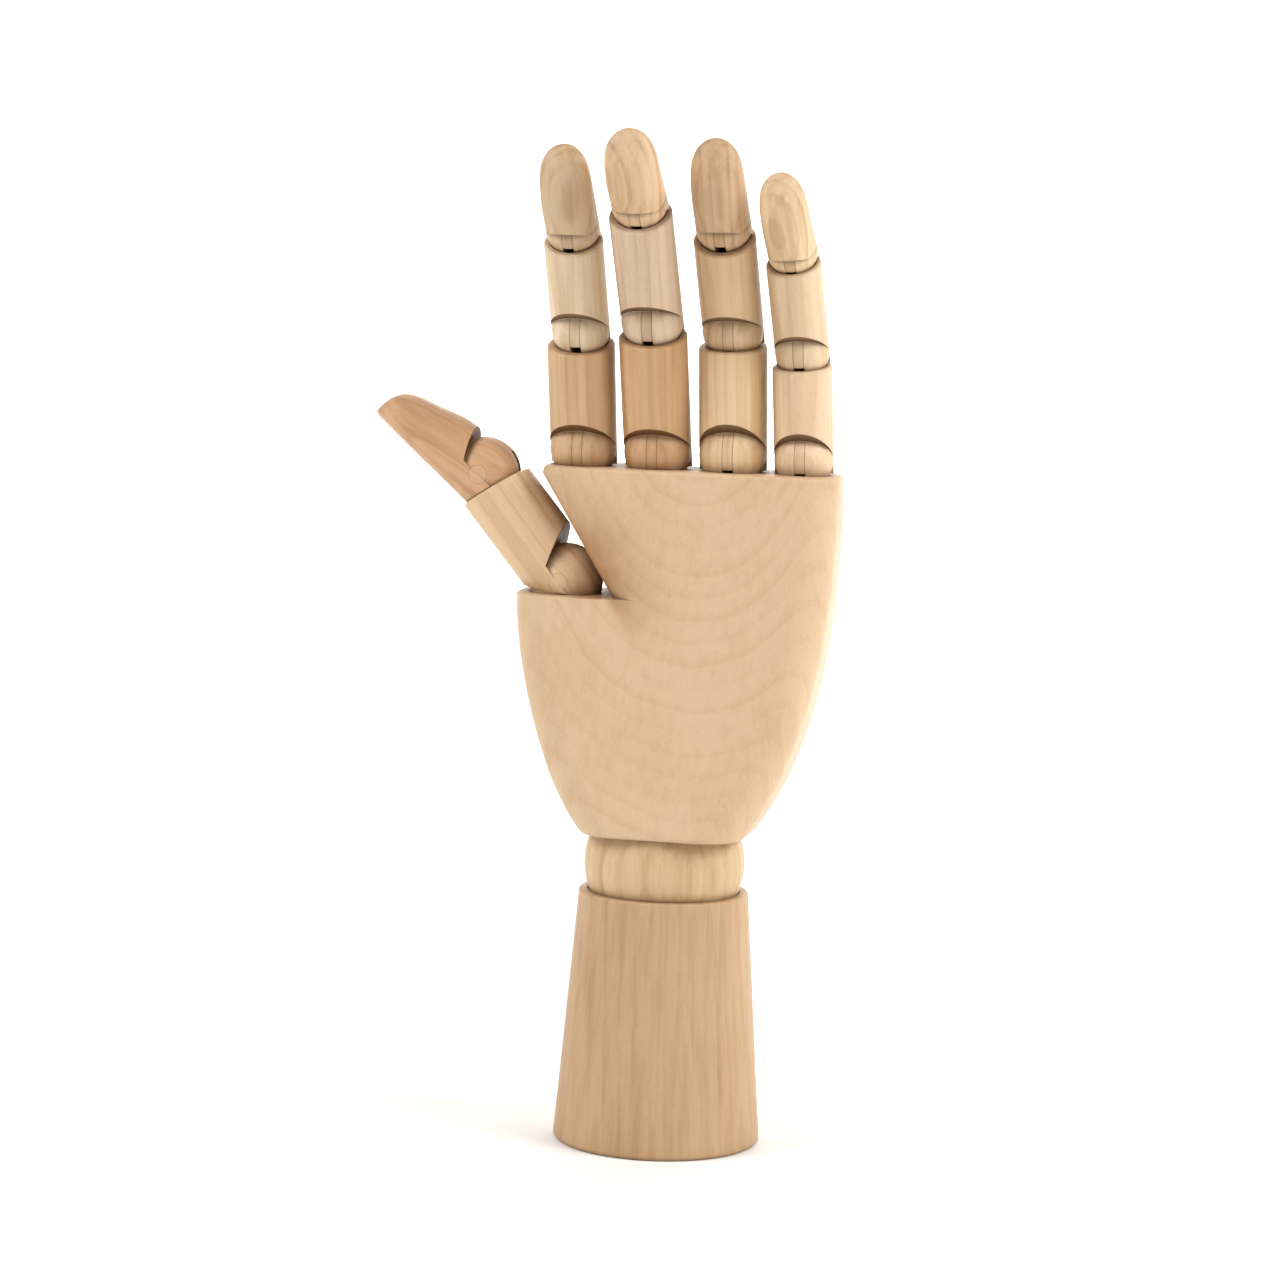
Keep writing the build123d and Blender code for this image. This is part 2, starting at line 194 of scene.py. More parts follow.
@dataclass(frozen=True)
class Knuckle:
    """Ball knuckle of a segment, with the strip that closes its wire slot and its plugged pin hole.

    Place and lengths are in metres; axis and front are directions of unit length. The lip is the height
    of the notch's lower edge over the ball's middle.
    """

    place: Vector
    axis: Vector
    front: Vector
    radius: float
    lip: float
    strip_share: float = 0.16
    # darkness of the painted shadow under the notch's lip
    lip_shadow_share: float = 0.0
    strip_half: float = 0.0015
    plug_radius: float = 0.0027
    skin: float = 0.0003
    seam: float = 0.0001
    lip_shadow_reach: float = 0.0022

    def on_ball(self, g: Graph, offset: Socket) -> Socket:
        """Tells the ball's own surface from the rest of the segment.

        Args:
            g: the graph of the segment's wood.
            offset: place from the ball's middle.

        Returns:
            1 on the ball, 0 away from it.
        """
        reach = g.add("VectorMath", {0: offset}, operation="LENGTH").outputs["Value"]
        off = g.math("ABSOLUTE", g.math("SUBTRACT", reach, self.radius))
        return g.spread(off, 0.4 * self.skin, self.skin, 1.0, 0.0)

    def marks(self, g: Graph) -> tuple[Socket, Socket, Socket]:
        """Draws the marks on the ball.

        Args:
            g: the graph of the segment's wood.

        Returns:
            Shares of the glue lines, of the strip and of the plug.
        """
        where = g.add("TexCoord").outputs["Object"]
        offset = g.vector("SUBTRACT", where, self.place).outputs[0]
        across = g.math("ABSOLUTE", g.vector("DOT_PRODUCT", offset, self.axis).outputs["Value"])
        ahead = g.vector("DOT_PRODUCT", offset, self.front).outputs["Value"]
        ring = g.vector("CROSS_PRODUCT", offset, self.axis).outputs[0]
        ring = g.add("VectorMath", {0: ring}, operation="LENGTH").outputs["Value"]
        ball = self.on_ball(g, offset)
        face = g.math("MULTIPLY", ball, g.spread(ahead, 0.1 * self.radius, 0.3 * self.radius))
        side = g.math("MULTIPLY", ball, g.spread(across, 0.6 * self.radius, 0.7 * self.radius))
        seam = self.thin_line(g, across, self.strip_half, face)
        hem = self.thin_line(g, ring, self.plug_radius, side)
        lines = g.math("ADD", seam, g.math("MULTIPLY", hem, 0.5), clamp=True)
        strip = g.spread(across, self.strip_half, self.strip_half + self.seam, 1.0, 0.0)
        strip = g.math("MULTIPLY", g.math("MULTIPLY", strip, face), self.strip_share)
        plug = g.spread(ring, self.plug_radius, self.plug_radius + self.seam, 1.0, 0.0)
        plug = g.math("MULTIPLY", plug, side)
        return lines, strip, plug

    def notch_grain_and_shade(self, g: Graph, axis: Vector) -> Socket:
        """Sawn face over the ball: darker open end grain with painted shade, darkest by the ball.

        Args:
            g: the graph of the segment's wood.
            axis: direction of the segment, away from the ball.

        Returns:
            How far the face is darkened by end grain and painted shade.
        """
        coord = g.add("TexCoord").outputs
        offset = g.vector("SUBTRACT", coord["Object"], self.place).outputs[0]
        below = g.vector("DOT_PRODUCT", coord["Normal"], -axis).outputs["Value"]
        reach = g.add("VectorMath", {0: offset}, operation="LENGTH").outputs["Value"]
        depth = g.spread(reach, self.radius, 1.6 * self.radius, 0.92, 0.7)
        bare = g.math("SUBTRACT", 1.0, self.on_ball(g, offset))
        return g.math("MULTIPLY", g.math("MULTIPLY", g.spread(below, 0.25, 0.55), bare), depth)

    def shadow_under_lip(self, g: Graph, axis: Vector) -> Socket:
        """Painted shadow on the ball, close under the lip of its notch.

        Args:
            g: the graph of the segment's wood.
            axis: direction of the segment, away from the ball.

        Returns:
            How far the ball is darkened by painted shadow.
        """
        where = g.add("TexCoord").outputs["Object"]
        offset = g.vector("SUBTRACT", where, self.place).outputs[0]
        height = g.vector("DOT_PRODUCT", offset, axis).outputs["Value"]
        lip_shadow = g.spread(height, self.lip - self.lip_shadow_reach, self.lip, 0.0, self.lip_shadow_share)
        return g.math("MULTIPLY", lip_shadow, self.on_ball(g, offset))

    def thin_line(self, g: Graph, value: Socket, at: float, share: Socket) -> Socket:
        """Fine line where a length passes a given one."""
        off = g.math("ABSOLUTE", g.math("SUBTRACT", value, at))
        return g.math("MULTIPLY", g.spread(off, 0.4 * self.seam, 2 * self.seam, 1.0, 0.0), share)


@dataclass(frozen=True)
class CrookShade:
    """Corner beside the thumb, darkened with painted shade.

    The corner runs from low to high, in metres; the painted shade starts at its lip and fades over its reach.
    """

    low: Vector
    high: Vector
    lip: float = -0.0024
    reach: float = 0.024
    share: float = 0.86
    wall_band: tuple[float, float] = (-0.009, -0.006)
    face_band: tuple[float, float] = (-0.001, 0.003)
    ledge_band: tuple[float, float] = (-0.0006, 0.0004)
    patch_scale: float = 160.0

    def shade(self, g: Graph) -> Socket:
        """How far the wood is darkened with painted shade.

        Args:
            g: the graph of the palm's wood.

        Returns:
            The share of brown, largest deep in the corner.
        """
        line = self.high - self.low
        away = Vector((line.z, 0.0, -line.x)).normalized()
        where = g.add("TexCoord").outputs["Object"]
        offset = g.vector("SUBTRACT", where, self.low).outputs[0]
        far = g.vector("DOT_PRODUCT", offset, away).outputs["Value"]
        along = g.vector("DOT_PRODUCT", offset, line.normalized()).outputs["Value"]
        height = g.vector("DOT_PRODUCT", offset, (0.0, 0.0, 1.0)).outputs["Value"]
        beside = g.math("MAXIMUM", g.spread(height, *self.ledge_band), g.spread(far, *self.face_band))
        inside = g.math("MULTIPLY", g.spread(far, *self.wall_band), beside)
        inside = g.math("MULTIPLY", inside, g.spread(far, self.lip, self.reach, 1.0, 0.0))
        risen = g.spread(along, 0.2 * line.length, line.length, 1.0, 0.25)
        risen = g.math("MULTIPLY", risen, g.spread(along, -self.reach, 0.3 * self.reach))
        patches = g.noise(where, self.patch_scale, 2.0).outputs["Fac"]
        uneven = g.spread(patches, 0.3, 0.7, 0.8 * self.share, self.share)
        return g.math("MULTIPLY", g.math("MULTIPLY", inside, risen), uneven)


@dataclass(frozen=True)
class WoodFinish:
    """Sanded, unvarnished pale wood of one piece.

    Colours are of early and late wood, angles are in degrees and lengths in millimetres. Rises and drops
    are shares of the relief's height.
    """

    early: str
    late: str
    cut: Cut = Cut.QUARTER
    heart_turn: float = 60.0
    tilt: float = 2.0
    ring_step: float = 3.4
    ring_share: float = 0.34
    streak_share: float = 0.42
    seed: float = 0.0
    wander: float = 4.0
    gloss: float = 0.4
    edge_radius: float = 0.45
    relief_height: float = 0.06
    fibre_rise: float = 0.5
    pore_drop: float = 0.6
    ring_drop: float = 0.2
    glue_drop: float = 1.6

    def material(
        self, name: str, start: Vector, end: Vector, ball: Knuckle | None = None, crook_shade: CrookShade | None = None
    ) -> bpy.types.Material:
        """Builds the wood, with its grain from start to end.

        Args:
            name: name of the material.
            start: one end of the piece's axis, in metres.
            end: the other end, in metres.
            ball: the piece's ball knuckle, if it has one.
            crook_shade: the piece's corner with painted shade, if it has one.

        Returns:
            The finished material.
        """
        g = Graph(name)
        gloss = self.gloss
        axis = (end - start).normalized()
        mm = self.grain_place(g, start, end)
        bent = self.bent_place(g, mm)
        ring = self.rings(g, bent)
        fibre = self.long_noise(g, mm, stretch=0.022, scale=1.7, detail=3.0, rough=0.6)
        pore = g.spread(self.long_noise(g, mm, stretch=0.085, scale=3.6, detail=0.0), 0.66, 0.78)
        share = self.late_share(g, mm, bent, ring, fibre)
        colour = g.blend(share, srgb(self.early), srgb(self.late))
        colour = g.tint(colour, Tone.PORE, pore)
        colour = g.tint(colour, Tone.END_GRAIN, self.end_grain(g, axis))
        relief = g.math("MULTIPLY", fibre, self.fibre_rise)
        relief = g.math("SUBTRACT", relief, g.math("MULTIPLY", pore, self.pore_drop))
        relief = g.math("SUBTRACT", relief, g.math("MULTIPLY", ring, self.ring_drop))
        if ball:
            lines, strip, plug = ball.marks(g)
            colour = g.tint(colour, Tone.STRIP, strip)
            colour = g.tint(colour, Tone.PLUG, plug)
            colour = g.tint(colour, Tone.GLUE, lines)
            relief = g.math("SUBTRACT", relief, g.math("MULTIPLY", lines, self.glue_drop))
            # sawn notch faces: darker end grain with painted shade
            grain_and_shade = ball.notch_grain_and_shade(g, axis)
            # painted shadow on the ball under the notch's lip
            colour = g.tint(colour, Tone.LIP_SHADOW, ball.shadow_under_lip(g, axis))
            colour = g.tint(colour, Tone.SAWN_GRAIN_AND_SHADE, grain_and_shade)
            gloss = g.math("SUBTRACT", gloss, g.math("MULTIPLY", grain_and_shade, gloss))
        # painted shade beside the thumb
        if crook_shade:
            colour = g.tint(colour, Tone.THUMB_SHADE, crook_shade.shade(g))
        soft = g.add("Bevel", {"Radius": self.edge_radius * MM}, samples=4).outputs["Normal"]
        edge = self.worn_edge(g, soft)
        colour = g.tint(colour, Tone.WORN_EDGE, edge)
        # painted shade in crevices and where parts meet
        colour = g.tint(colour, Tone.CREVICE_SHADE, self.crevice_shade(g, mm))
        roughness = g.spread(fibre, 0.3, 0.75, 0.44, 0.58)
        roughness = g.math("SUBTRACT", roughness, g.math("MULTIPLY", edge, 0.1))
        depth = {"Strength": 0.35, "Distance": self.relief_height * MM}
        bump = g.add("Bump", {**depth, "Height": relief, "Normal": soft})
        values = {"Base Color": colour, "Roughness": roughness, "Normal": bump.outputs[0]}
        shader = g.add("BsdfPrincipled", {**values, "Specular IOR Level": gloss})
        g.add("OutputMaterial", {"Surface": shader.outputs[0]})
        return g.material

    def long_noise(
        self, g: Graph, place: Socket, stretch: float, scale: float, detail: float, rough: float = 0.5
    ) -> Socket:
        """Noise drawn out along the grain.

        Args:
            g: the graph of the piece's wood.
            place: place in the piece, in millimetres.
            stretch: share of the length along the grain that the noise sees.
            scale: waves in a millimetre across the grain.
            detail: number of finer layers.
            rough: how strong the finer layers are.

        Returns:
            The noise, from 0 to 1.
        """
        drawn = g.vector("MULTIPLY", place, (1.0, 1.0, stretch)).outputs[0]
        return g.noise(drawn, scale, detail, rough).outputs["Fac"]

    def late_share(self, g: Graph, mm: Socket, bent: Socket, ring: Socket, fibre: Socket) -> Socket:
        """How much of the darker late wood shows.

        Args:
            g: the graph of the piece's wood.
            mm: place in the piece, in millimetres.
            bent: the same place with the grain's bends.
            ring: the growth rings.
            fibre: the fine fibres.

        Returns:
            The share, from 0 to 1.
        """
        streak = self.long_noise(g, bent, stretch=0.012, scale=0.33, detail=2.0, rough=0.55)
        broad = self.long_noise(g, mm, stretch=0.4, scale=0.045, detail=1.0)
        share = g.math("MULTIPLY", ring, self.ring_share)
        share = g.math("ADD", share, g.spread(streak, 0.36, 0.74, 0.0, self.streak_share))
        share = g.math("ADD", share, g.spread(fibre, 0.3, 0.75, -0.05, 0.11))
        return g.math("ADD", share, g.spread(broad, 0.3, 0.7, -0.1, 0.14), clamp=True)

    def worn_edge(self, g: Graph, soft: Socket) -> Socket:
        """Finds the edges that hands have rubbed.

        Args:
            g: the graph of the piece's wood.
            soft: the surface's direction with its edges rounded.

        Returns:
            How far a place lies on an edge, from 0 to 1.
        """
        flat = g.add("NewGeometry").outputs["True Normal"]
        alike = g.vector("DOT_PRODUCT", soft, flat).outputs["Value"]
        return g.spread(alike, 0.8, 0.985, 1.0, 0.0)

    def grain_place(self, g: Graph, start: Vector, end: Vector) -> Socket:
        """Lays out the place that the grain is drawn on.

        Args:
            g: the graph of the piece's wood.
            start: one end of the piece's axis, in metres.
            end: the other end, in metres.

        Returns:
            Place in millimetres from the piece's start, with the third axis along the grain.
        """
        turn = self.grain_turn(start, end)
        shift = self.seed * LOG_STEP - (turn @ start) / MM
        where = g.add("TexCoord").outputs["Object"]
        values = {"Vector": where, "Location": shift, "Scale": (1 / MM,) * 3}
        return g.add("Mapping", {**values, "Rotation": turn.to_euler("XYZ")}).outputs[0]

    def grain_turn(self, start: Vector, end: Vector) -> Matrix:
        """Turn that lays the piece's axis along the third axis, with a slight tilt of the grain."""
        upright = (end - start).to_track_quat("Z", "Y").to_matrix().transposed()
        return Euler((math.radians(self.tilt), 0.0, math.radians(self.heart_turn))).to_matrix() @ upright

    def bent_place(self, g: Graph, mm: Socket) -> Socket:
        """Gives the grain its slow bends.

        Args:
            g: the graph of the piece's wood.
            mm: place in the piece, in millimetres.

        Returns:
            The same place, pushed aside a little.
        """
        slow = g.vector("MULTIPLY", mm, (1.0, 1.0, 0.3)).outputs[0]
        bend = g.noise(slow, 0.035, 2.0).outputs["Color"]
        bend = g.vector("SUBTRACT", bend, (0.5, 0.5, 0.5)).outputs[0]
        bend = g.vector("MULTIPLY", bend, (self.wander,) * 3).outputs[0]
        return g.vector("ADD", mm, bend).outputs[0]

    def rings(self, g: Graph, bent: Socket) -> Socket:
        """Draws the growth rings: slow early wood that ends in a thin late line, of uneven strength.

        Args:
            g: the graph of the piece's wood.
            bent: place in the piece with the grain's bends, in millimetres.

        Returns:
            0 in early wood, up to 1 on a late line.
        """
        heart = self.seed * LOG_STEP + Vector((self.cut.value, 0.0, 0.0))
        across = g.vector("MULTIPLY", g.vector("SUBTRACT", bent, heart).outputs[0], (1.0, 1.0, 0.0))
        radius = g.add("VectorMath", {0: across.outputs[0]}, operation="LENGTH").outputs["Value"]
        count = g.math("DIVIDE", radius, self.ring_step)
        share = g.math("FRACT", count)
        strength = g.add("TexWhiteNoise", {"W": g.math("FLOOR", count)}, noise_dimensions="1D")
        rise = g.spread(share, 0.15, 0.86)
        fall = g.spread(share, 0.9, 1.0, 1.0, 0.0)
        line = g.math("MULTIPLY", g.math("MULTIPLY", rise, fall), g.math("MULTIPLY", rise, rise))
        return g.math("MULTIPLY", line, g.spread(strength.outputs["Value"], 0.0, 1.0, 0.35, 1.0))

    def end_grain(self, g: Graph, axis: Vector) -> Socket:
        """Finds the faces that cut across the grain.

        Args:
            g: the graph of the piece's wood.
            axis: direction of the piece.

        Returns:
            How far a face lies across the axis, from 0 to 1.
        """
        normal = g.add("TexCoord").outputs["Normal"]
        along = g.vector("DOT_PRODUCT", normal, axis).outputs["Value"]
        return g.spread(g.math("ABSOLUTE", along), 0.55, 0.98)

    def crevice_shade(self, g: Graph, mm: Socket) -> Socket:
        """Paints shade deep in the notches, along the seams and where parts meet, uneven from place to place.

        Args:
            g: the graph of the piece's wood.
            mm: place in the piece, in millimetres.

        Returns:
            The share of painted shade, from 0 to 1.
        """
        # ambient occlusion turned into painted shade: deep within the piece, and near other parts
        deep = g.add("AmbientOcclusion", {"Distance": 0.007}, samples=6, only_local=True).outputs["AO"]
        near = g.add("AmbientOcclusion", {"Distance": 0.005}, samples=6).outputs["AO"]
        uneven = g.spread(g.noise(mm, 0.21, 2.0).outputs["Fac"], 0.3, 0.7, 0.85, 1.0)
        deep = g.math("MULTIPLY", g.spread(deep, 0.2, 0.8, 0.72, 0.0), uneven)
        near = g.math("MULTIPLY", g.spread(near, 0.2, 0.9, 0.4, 0.0), uneven)
        return g.math("MAXIMUM", deep, near)


@dataclass(frozen=True)
class MetalFinish:
    """Drawn wire or turned metal with fine scratches and a little dulling. Scales are waves in a metre."""

    tone: str
    dull: str
    roughness: float
    cloud_scale: float = 420.0
    scratch_scale: float = 5200.0
    scratch_stretch: float = 0.06
    scratch_depth: float = 0.02 * MM

    def material(self, name: str) -> bpy.types.Material:
        """Builds the metal.

        Args:
            name: name of the material.

        Returns:
            The finished material.
        """
        g = Graph(name)
        where = g.add("TexCoord").outputs["Object"]
        cloud = g.noise(where, self.cloud_scale, 3.0).outputs["Fac"]
        drawn = g.vector("MULTIPLY", where, (1.0, 1.0, self.scratch_stretch)).outputs[0]
        scratch = g.noise(drawn, self.scratch_scale, 1.0).outputs["Fac"]
        colour = g.blend(g.spread(cloud, 0.4, 0.7, 0.0, 0.6), srgb(self.tone), srgb(self.dull))
        dulled = g.spread(cloud, 0.4, 0.7, self.roughness, self.roughness + 0.14)
        rough = g.math("ADD", g.spread(scratch, 0.3, 0.7, -0.06, 0.08), dulled)
        bump = g.add("Bump", {"Strength": 0.2, "Distance": self.scratch_depth, "Height": scratch})
        values = {"Base Color": colour, "Roughness": rough, "Metallic": 1.0, "Normal": bump.outputs[0]}
        shader = g.add("BsdfPrincipled", values)
        g.add("OutputMaterial", {"Surface": shader.outputs[0]})
        return g.material


@dataclass(frozen=True)
class FloorFinish:
    """Plain pale paper."""

    tone: str = "F6F5F2"
    cloud: str = "EFEDE8"
    cloud_scale: float = 60.0

    def material(self, name: str) -> bpy.types.Material:
        """Builds the paper.

        Args:
            name: name of the material.

        Returns:
            The finished material.
        """
        g = Graph(name)
        where = g.add("TexCoord").outputs["Object"]
        cloud = g.noise(where, self.cloud_scale, 4.0).outputs["Fac"]
        colour = g.blend(g.spread(cloud, 0.3, 0.7, 0.0, 0.2), srgb(self.tone), srgb(self.cloud))
        shader = g.add("BsdfPrincipled", {"Base Color": colour, "Roughness": 0.85, "Specular IOR Level": 0.1})
        g.add("OutputMaterial", {"Surface": shader.outputs[0]})
        return g.material


def find_knuckle(
    node: str, joint: str, end: Vector, side: Vector, strip_share: float = 0.16, lip_shadow_share: float = 0.0
) -> Knuckle:
    """Reads a segment's ball knuckle off the frame.

    Args:
        node: name of the segment's node.
        joint: name of the hinge in the ball.
        end: the segment's other end, in metres.
        side: a direction on the notch's side.
        strip_share: how far the strip in the slot differs from the wood.
        lip_shadow_share: how far the ball is darkened by painted shadow under the lip of its notch.

    Returns:
        The knuckle's place, directions, radius and lip.
    """
    hinge = find_joint(joint)
    place, axis = Vector(hinge["pos_m"]), Vector(hinge["axis"]).normalized()
    front = axis.cross(end - place).normalized()
    if front.dot(side) < 0:
        front = -front
    offsets = [vertex.co - place for vertex in frame["nodes"][node].data.vertices]
    shell = [o for o in offsets if abs(o.dot(axis)) > SLOT_SIDE and o.dot(front) > BALL_FRONT]
    radius = min(o.length for o in shell)
    ahead = (end - place).normalized()
    lip = max(o.dot(ahead) for o in shell if o.length < radius + SHELL_SLACK)
    return Knuckle(place, axis, front, radius, lip, strip_share, lip_shadow_share)


def dress(node: str, material: bpy.types.Material) -> None:
    """Gives a node of the frame its finish.

    Args:
        node: name of the node.
        material: the finish.
    """
    piece = frame["nodes"][node]
    piece.data.materials.clear()
    piece.data.materials.append(material)
    LOG.info("dressed %s with %s", node, material.name)


@dataclass
class Hardware:
    """The steel and brass pieces inside the hand."""

    bright: MetalFinish = MetalFinish("C9CBCD", "8F9194", 0.26)
    spring: MetalFinish = MetalFinish("A8A6A2", "6C6A67", 0.34)
    brass: MetalFinish = MetalFinish("D2A75A", "9A7238", 0.3)

    def dress(self) -> None:
        """Dresses every node that the record gives a metal slot."""
        finishes = {
            "bright_steel": self.bright.material("bright_steel"),
            "spring_steel": self.spring.material("spring_steel"),
            "bush_brass": self.brass.material("bush_brass"),
        }
        for part in frame["record"]["subparts"]:
            if part["material_slot"] in finishes:
                dress(part["node"], finishes[part["material_slot"]])


@dataclass
class Stand:
    """Forearm and wrist ball, turned from one darker blank."""

    forearm: WoodFinish = WoodFinish(
        "C2A17A", "A77E55", Cut.QUARTER, heart_turn=200.0, tilt=1.0, seed=1.0,
        ring_step=4.2, ring_share=0.22, streak_share=0.4,
    )
    ball: WoodFinish = WoodFinish(
        "D5B78E", "B38A5B", Cut.SLAB, heart_turn=70.0, tilt=3.0, seed=2.0,
        ring_step=3.8, ring_share=0.3, streak_share=0.45,
    )

    def dress(self) -> None:
        """Gives both pieces their wood, grain upright."""
        for node, finish in (("forearm", self.forearm), ("wrist_ball", self.ball)):
            low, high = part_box(node)
            middle = (low + high) / 2
            start = Vector((middle.x, middle.y, low.z))
            dress(node, finish.material(node + "_wood", start, start + Vector((0, 0, 1))))


@dataclass
class Palm:
    """Palm block, cut flat so that its face shows arched grain."""

    finish: WoodFinish = WoodFinish(
        "D7B996", "BD9871", Cut.SLAB, heart_turn=98.0, tilt=24.0, seed=3.0,
        ring_step=3.2, ring_share=0.22, streak_share=0.2, wander=3.0,
    )
    # painted shade in the corner beside the thumb
    crook_shade: CrookShade = CrookShade(Vector((-0.0176, 0.0, 0.1608)), Vector((-0.0397, 0.0, 0.1955)))

    def dress(self) -> None:
        """Gives the palm its wood, grain upright."""
        low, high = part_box("palm")
        start = Vector((0.0, 0.0, low.z))
        end = Vector((0.0, 0.0, high.z))
        dress("palm", self.finish.material("palm_wood", start, end, crook_shade=self.crook_shade))


@dataclass
class Finger:
    """One finger of three segments, each from its own stick.

    For each segment, strips says how far the strip in its slot differs from the wood, lip_shadows how far its
    ball is darkened by painted shadow under the notch, and rows what its knuckle is called.
    """

    digit: Digit
    proximal: WoodFinish
    middle: WoodFinish
    distal: WoodFinish
    strips: dict[str, float] = field(default_factory=lambda: dict(proximal=0.12, middle=0.2, distal=0.16))
    # darkness of the painted shadow under each notch's lip
    lip_shadows: dict[str, float] = field(default_factory=lambda: dict(proximal=0.0, middle=0.0, distal=0.5))
    rows: dict[str, str] = field(default_factory=lambda: dict(proximal="base", middle="middle", distal="tip"))

    def dress(self) -> None:
        """Gives each segment its wood, grain along the segment."""
        name = self.digit.value
        knuckles = [joint_place(f"{name}_{row}_bend") for row in self.rows.values()]
        knuckles.append(far_point(name + "_distal", knuckles[-1]))
        finishes = {"proximal": self.proximal, "middle": self.middle, "distal": self.distal}
        for (segment, finish), start, end in zip(finishes.items(), knuckles, knuckles[1:]):
            node = f"{name}_{segment}"
            joint = f"{name}_{self.rows[segment]}_bend"
            shares = self.strips[segment], self.lip_shadows[segment]
            ball = find_knuckle(node, joint, end, Vector((0, -1, 0)), *shares)
            dress(node, finish.material(node + "_wood", start, end, ball))


@dataclass
class Thumb:
    """Thumb of two segments."""

    proximal: WoodFinish
    distal: WoodFinish

    def dress(self) -> None:
        """Gives both segments their wood, grain along the segment."""
        base, knuckle = joint_place("thumb_swing"), joint_place("thumb_tip_bend")
        tip = far_point("thumb_distal", knuckle)
        side = Vector((1, 0, 0))
        low = find_knuckle("thumb_proximal", "thumb_swing", knuckle, side)
        high = find_knuckle("thumb_distal", "thumb_tip_bend", tip, side)
        dress("thumb_proximal", self.proximal.material("thumb_proximal_wood", base, knuckle, low))
        dress("thumb_distal", self.distal.material("thumb_distal_wood", knuckle, tip, high))


@dataclass(frozen=True)
class Lamp:
    """One soft square light. Lengths in metres, power in watts."""

    name: str
    place: Vector
    target: Vector
    size: float
    power: float

    def add(self) -> None:
        """Hangs the light so that it looks at its target."""
        data = bpy.data.lights.new(self.name, "AREA")
        data.size = self.size
        data.energy = self.power
        lamp = bpy.data.objects.new(self.name, data)
        lamp.location = self.place
        lamp.rotation_euler = (self.target - self.place).to_track_quat("-Z", "Y").to_euler()
        bpy.context.scene.collection.objects.link(lamp)
        LOG.info("hung %s", self.name)


HAND_MIDDLE = Vector((-0.012, 0.0, 0.15))
LAMPS = (
    Lamp("left_light", Vector((-1.4, -0.85, 1.5)), HAND_MIDDLE, size=0.9, power=24.0),
    Lamp("right_light", Vector((1.5, -0.4, 1.2)), HAND_MIDDLE, size=1.0, power=25.0),
    Lamp("paper_light", Vector((0.0, 0.9, 1.5)), Vector((0.0, 2.4, 0.5)), size=1.6, power=80.0),
)


@dataclass
class Studio:
    """Paper sweep, soft lights and camera.

    Lengths are in metres and angles in degrees, but lens and sensor are in millimetres.
    """

    width: float = 7.0
    front: float = 3.5
    depth: float = 1.6
    height: float = 3.0
    sweep: float = 0.9
    camera_distance: float = 1.14927
    camera_height: float = 0.28424
    camera_azimuth: float = 11.0
    camera_roll: float = 1.77
    lens: float = 113.0
    sensor: float = 36.0
    air: float = 0.42
    sweep_steps: int = 12

    def build(self) -> None:
        """Makes the floor, the lights and the camera."""
        self.build_floor()
        self.build_lights()
        self.build_camera()

    def build_floor(self) -> None:
        """One sheet that lies flat and sweeps up behind the object."""
        profile = [(-self.front, 0.0), (self.depth, 0.0)]
        for i in range(1, self.sweep_steps + 1):
            turn = math.radians(90 * i / self.sweep_steps)
            profile.append((self.depth + self.sweep * math.sin(turn), self.sweep * (1 - math.cos(turn))))
        profile.append((self.depth + self.sweep, self.height))
        half = self.width / 2
        points = [(x, y, z) for y, z in profile for x in (-half, half)]
        faces = [(2 * i, 2 * i + 1, 2 * i + 3, 2 * i + 2) for i in range(len(profile) - 1)]
        mesh = bpy.data.meshes.new("paper_sweep")
        mesh.from_pydata(points, [], faces)
        mesh.polygons.foreach_set("use_smooth", [True] * len(faces))
        sheet = bpy.data.objects.new("paper_sweep", mesh)
        bpy.context.scene.collection.objects.link(sheet)
        mesh.materials.append(FloorFinish().material("pale_paper"))

    def build_lights(self) -> None:
        """White surroundings, a soft light from each side and a light on the paper behind."""
        world = bpy.data.worlds.new("studio_air")
        world.use_nodes = True
        air = world.node_tree.nodes["Background"]
        air.inputs["Color"].default_value = (1.0, 1.0, 1.0, 1.0)
        air.inputs["Strength"].default_value = self.air
        bpy.context.scene.world = world
        for lamp in LAMPS:
            lamp.add()
        view = bpy.context.scene.view_settings
        view.view_transform = "Standard"
        view.look = "None"

    def build_camera(self) -> None:
        """Camera at the height and side from which the hand was seen."""
        turn = math.radians(self.camera_azimuth)
        reach = self.camera_distance
        place = Vector((reach * math.sin(turn), -reach * math.cos(turn), self.camera_height))
        data = bpy.data.cameras.new("camera")
        data.lens = self.lens
        data.sensor_width = self.sensor
        data.dof.use_dof = False
        camera = bpy.data.objects.new("camera", data)
        level = (HAND_MIDDLE - place).to_track_quat("-Z", "Y").to_matrix()
        rolled = level @ Matrix.Rotation(math.radians(self.camera_roll), 3, "Z")
        camera.matrix_world = Matrix.Translation(place) @ rolled.to_4x4()
        bpy.context.scene.collection.objects.link(camera)
        bpy.context.scene.camera = camera


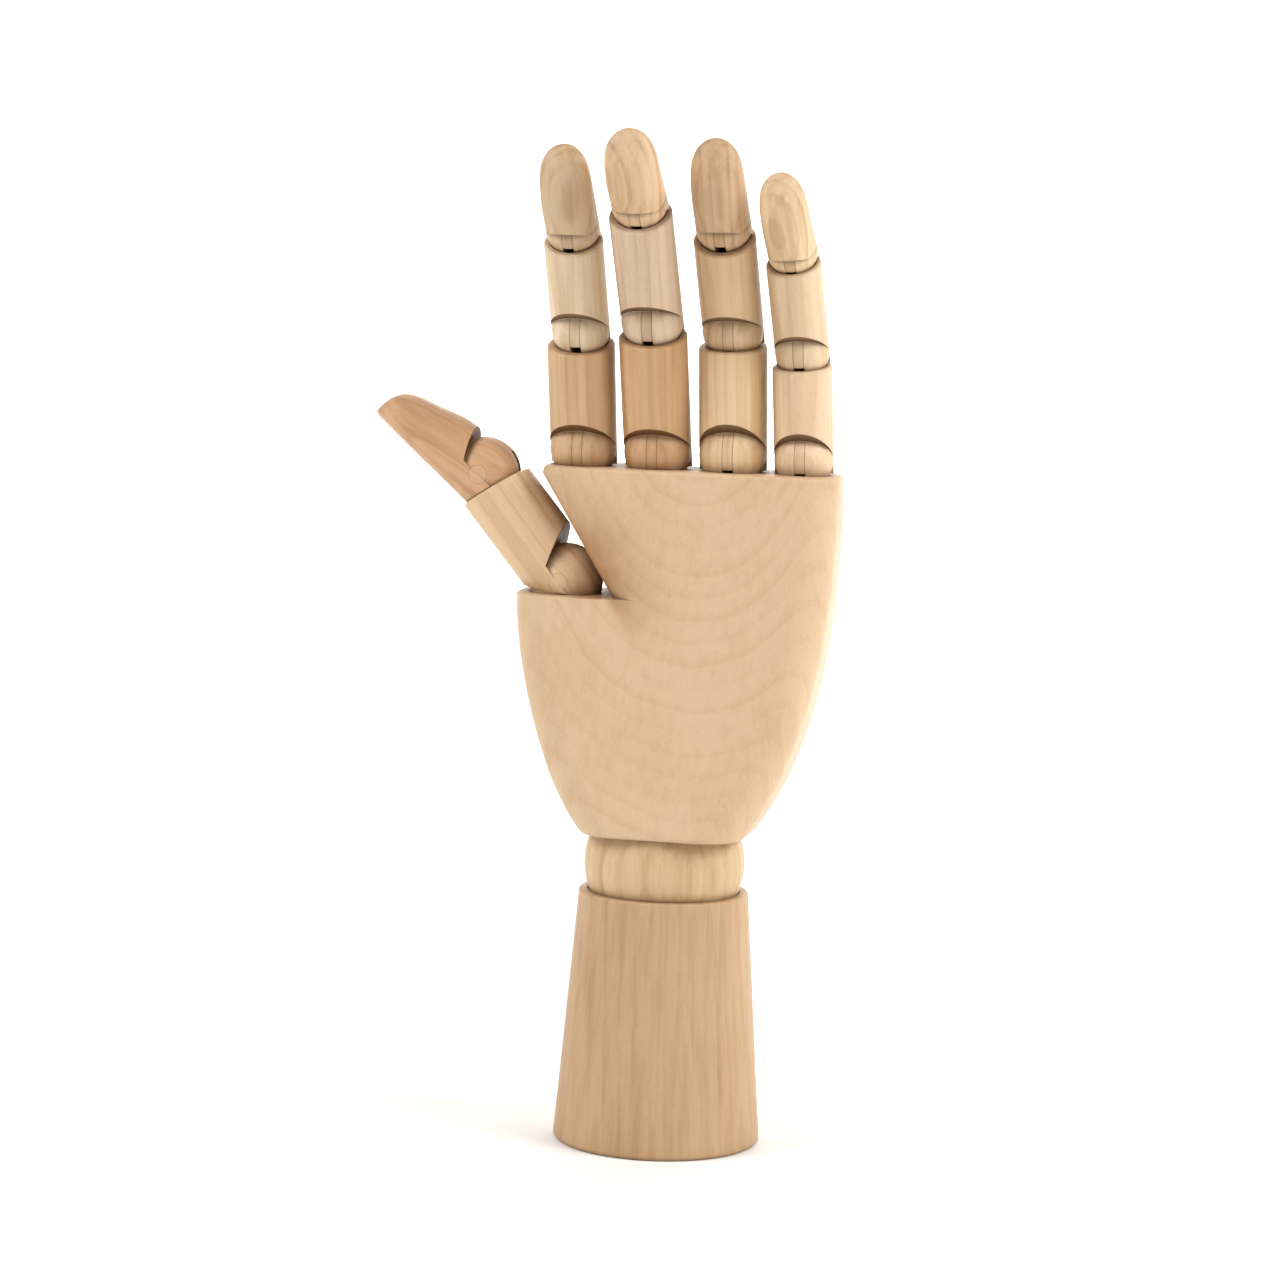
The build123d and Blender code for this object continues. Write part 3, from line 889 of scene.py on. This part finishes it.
FINGERS = (
    Finger(
        Digit.INDEX,
        WoodFinish(
            "D4B189", "B38657", Cut.QUARTER, heart_turn=30.0, tilt=2.0, seed=4.0,
            ring_step=3.0, ring_share=0.3, streak_share=0.45,
        ),
        WoodFinish(
            "E5CFAF", "C4A279", Cut.SLAB, heart_turn=110.0, tilt=2.0, seed=5.0,
            ring_step=3.4, ring_share=0.28, streak_share=0.4,
        ),
        WoodFinish(
            "CDB18E", "A9845A", Cut.QUARTER, heart_turn=250.0, tilt=3.0, seed=6.0,
            ring_step=2.8, ring_share=0.3, streak_share=0.45,
        ),
    ),
    Finger(
        Digit.MIDDLE,
        WoodFinish(
            "CFA87E", "AE7E4F", Cut.SLAB, heart_turn=80.0, tilt=2.0, seed=7.0,
            ring_step=3.6, ring_share=0.3, streak_share=0.45,
        ),
        WoodFinish(
            "DCC3A8", "BC9975", Cut.QUARTER, heart_turn=140.0, tilt=2.0, seed=8.0,
            ring_step=3.2, ring_share=0.3, streak_share=0.4,
        ),
        WoodFinish(
            "DCBC99", "B28758", Cut.QUARTER, heart_turn=320.0, tilt=4.0, seed=9.0,
            ring_step=3.0, ring_share=0.36, streak_share=0.5,
        ),
        strips=dict(proximal=0.12, middle=0.45, distal=0.16),
    ),
    Finger(
        Digit.RING,
        WoodFinish(
            "DFC197", "BE9465", Cut.QUARTER, heart_turn=10.0, tilt=1.0, seed=10.0,
            ring_step=3.2, ring_share=0.34, streak_share=0.5,
        ),
        WoodFinish(
            "D9BA93", "AB875E", Cut.SLAB, heart_turn=200.0, tilt=2.0, seed=11.0,
            ring_step=3.0, ring_share=0.3, streak_share=0.42,
        ),
        WoodFinish(
            "CDAC88", "A07C54", Cut.QUARTER, heart_turn=160.0, tilt=3.0, seed=12.0,
            ring_step=2.6, ring_share=0.32, streak_share=0.45,
        ),
    ),
    Finger(
        Digit.LITTLE,
        WoodFinish(
            "E8CBA9", "C9A279", Cut.SLAB, heart_turn=60.0, tilt=2.0, seed=13.0,
            ring_step=3.4, ring_share=0.3, streak_share=0.4,
        ),
        WoodFinish(
            "E1C6A3", "C19D75", Cut.QUARTER, heart_turn=290.0, tilt=2.0, seed=14.0,
            ring_step=3.0, ring_share=0.28, streak_share=0.4,
        ),
        WoodFinish(
            "E6CBA5", "BF996C", Cut.QUARTER, heart_turn=100.0, tilt=3.0, seed=15.0,
            ring_step=2.8, ring_share=0.32, streak_share=0.45,
        ),
    ),
)

THUMB = Thumb(
    WoodFinish(
        "E0C09A", "BF9569", Cut.SLAB, heart_turn=45.0, tilt=2.0, seed=16.0,
        ring_step=3.6, ring_share=0.3, streak_share=0.4,
    ),
    WoodFinish(
        "D6AB82", "AC7D52", Cut.QUARTER, heart_turn=220.0, tilt=3.0, seed=17.0,
        ring_step=3.0, ring_share=0.34, streak_share=0.45,
    ),
)


def main() -> None:
    """Dresses every piece and sets the studio."""
    logging.basicConfig(level=logging.INFO, format="%(message)s")
    for group in (Stand(), Palm(), *FINGERS, THUMB, Hardware()):
        group.dress()
    Studio().build()


if __name__ == "__main__":
    main()
